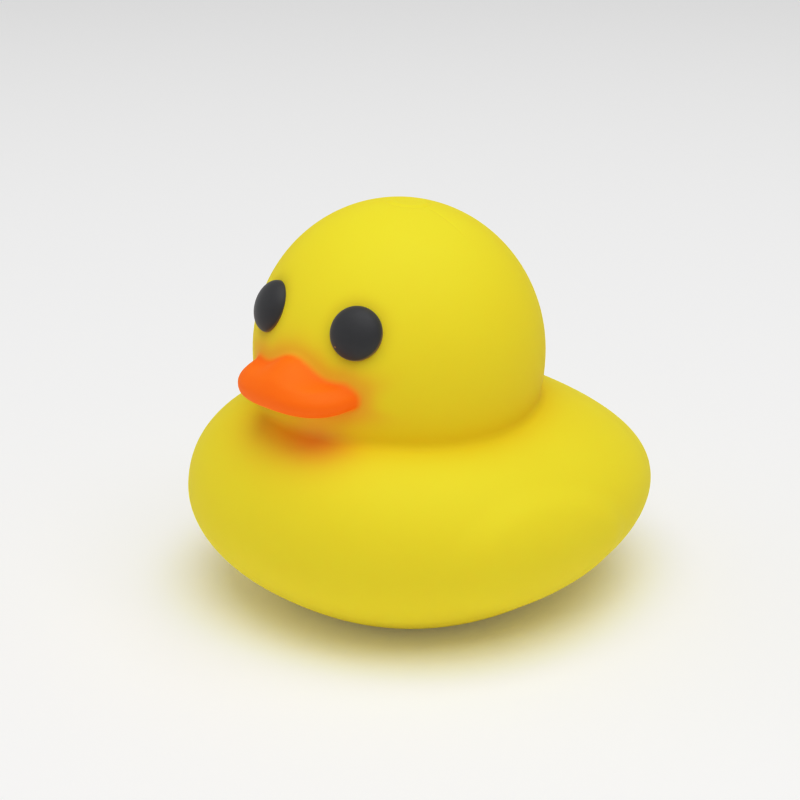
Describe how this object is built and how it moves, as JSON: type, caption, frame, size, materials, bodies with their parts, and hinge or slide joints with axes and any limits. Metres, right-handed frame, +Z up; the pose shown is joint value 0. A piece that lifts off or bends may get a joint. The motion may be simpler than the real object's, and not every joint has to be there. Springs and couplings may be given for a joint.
{
  "type": "rubber duck",
  "caption": "Hollow moulded bath duck with a round head, a short flat bill, low domed eyes and a flat foot to rest on.",
  "frame": {"origin": "on the floor, at the middle of the body's length and width", "axes": "+Z up, the duck faces -Y, its left side is +X"},
  "size_m": [0.0866, 0.09, 0.0783],
  "materials": {
    "yellow_vinyl": "matte soft vinyl, coloured through",
    "bill_paint": "matte sprayed paint with a feathered upper edge",
    "eye_paint": "matte masked paint with a crisp edge"
  },
  "bodies": {
    "root": {"duck_shell": "yellow_vinyl"}
  },
  "joints": []
}
